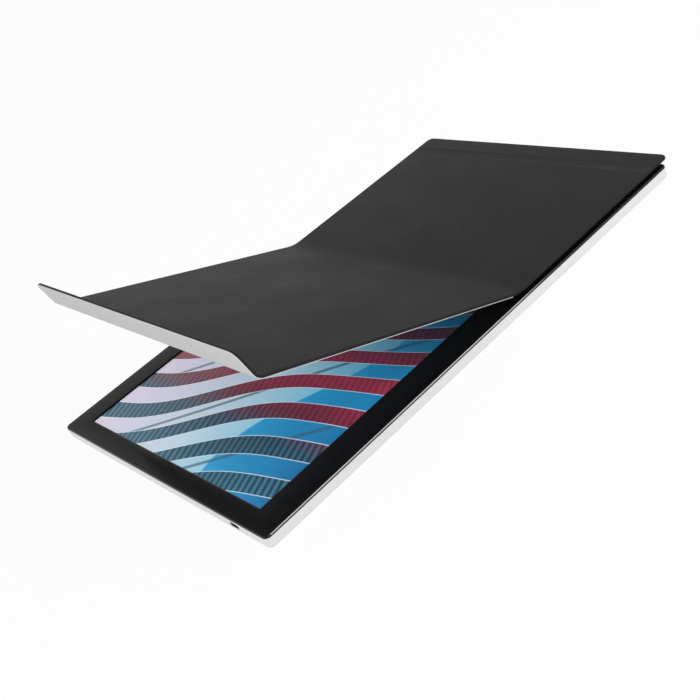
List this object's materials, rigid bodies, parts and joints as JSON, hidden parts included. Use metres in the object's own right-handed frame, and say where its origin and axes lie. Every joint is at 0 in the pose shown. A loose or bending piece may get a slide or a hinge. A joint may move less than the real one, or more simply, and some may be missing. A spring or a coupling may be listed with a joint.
{
  "type": "portable monitor with folding cover",
  "caption": "Slim flat-panel display in a shallow shell with a black bezel, and a folio cover that creases into a fixed strip, a flat half, a lifted half and a free flap.",
  "frame": {"origin": "centre of the display's flat back face, which lies on the table", "axes": "+Z out of the screen, +X along the long side towards the cover's spine, +Y towards the picture's top edge"},
  "size_m": [0.3803, 0.235, 0.1054],
  "materials": {
    "shell_plastic": "silver-white satin paint over moulded plastic",
    "bezel_plastic": "satin black moulded plastic",
    "black_tape": "black foam tape",
    "screen_face": "semi-gloss polariser over the picture",
    "cell_glass": "bonded glass pair",
    "optical_film": "clear optical film",
    "white_film": "white film",
    "light_guide_acrylic": "clear acrylic",
    "led_strip": "lamps on a thin flex",
    "tray_aluminium": "pressed sheet",
    "circuit_board": "green solder mask",
    "flex_film": "amber polyimide film",
    "flat_cable": "flat shielded cable",
    "chip_plastic": "black moulded epoxy",
    "plated_steel": "nickel-plated steel",
    "button_plastic": "silver-white moulded plastic",
    "screw_steel": "zinc-plated steel",
    "magnet_nickel": "nickel-plated magnet",
    "cover_skin": "charcoal polyurethane leather",
    "stiffener_board": "glass-fibre board",
    "cover_lining": "light grey microfibre"
  },
  "bodies": {
    "display": {"rear_shell": "shell_plastic", "front_bezel": "bezel_plastic", "bezel_tape": "black_tape", "front_polariser": "screen_face", "lcd_cell": "cell_glass", "rear_polariser": "optical_film", "prism_films": "optical_film", "diffuser_film": "white_film", "light_guide": "light_guide_acrylic", "reflector_film": "white_film", "led_strip": "led_strip", "panel_tray": "tray_aluminium", "driver_board": "circuit_board", "driver_flexes": "flex_film", "panel_cable": "flat_cable", "main_board": "circuit_board", "board_chips": "chip_plastic", "shield_can": "plated_steel", "usb_c_receptacle": "plated_steel", "usb_c_tongue": "chip_plastic", "tact_switch": "chip_plastic", "board_screws": "screw_steel", "panel_brackets": "plated_steel", "bracket_screws": "screw_steel", "closing_magnets": "magnet_nickel", "keeper_plates": "plated_steel", "spine_skin": "cover_skin", "spine_board": "stiffener_board", "rear_board": "stiffener_board", "spine_lining": "cover_lining", "strip_magnets": "magnet_nickel", "strip_skin": "cover_skin", "strip_board": "stiffener_board", "strip_lining": "cover_lining"},
    "button": {"power_button": "button_plastic", "switch_plunger": "button_plastic"},
    "flat_half": {"inner_skin": "cover_skin", "inner_board": "stiffener_board", "inner_lining": "cover_lining"},
    "lifted_half": {"outer_skin": "cover_skin", "outer_board": "stiffener_board", "outer_lining": "cover_lining"},
    "flap": {"flap_skin": "cover_skin", "flap_board": "stiffener_board", "flap_lining": "cover_lining", "flap_magnets": "magnet_nickel"}
  },
  "joints": [
    {"name": "button_press", "type": "slide", "parent": "display", "child": "button", "axis": [1, 0, 0], "range_m": [0, 0.0004], "stiffness_N_per_m": 3000, "springref_m": -0.0001},
    {"name": "groove_fold", "type": "hinge", "parent": "display", "child": "flat_half", "pos_m": [0.1745, 0, 0.0115], "axis": [0, 1, 0], "range_deg": [0, 175]},
    {"name": "middle_fold", "type": "hinge", "parent": "flat_half", "child": "lifted_half", "pos_m": [0.0329, 0, 0.0115], "axis": [0, 1, 0], "range_deg": [-22.5, 137.5]},
    {"name": "flap_fold", "type": "hinge", "parent": "lifted_half", "child": "flap", "pos_m": [-0.14532, 0, 0.08532], "axis": [0, 1, 0], "range_deg": [-53.4, 106.6]}
  ]
}
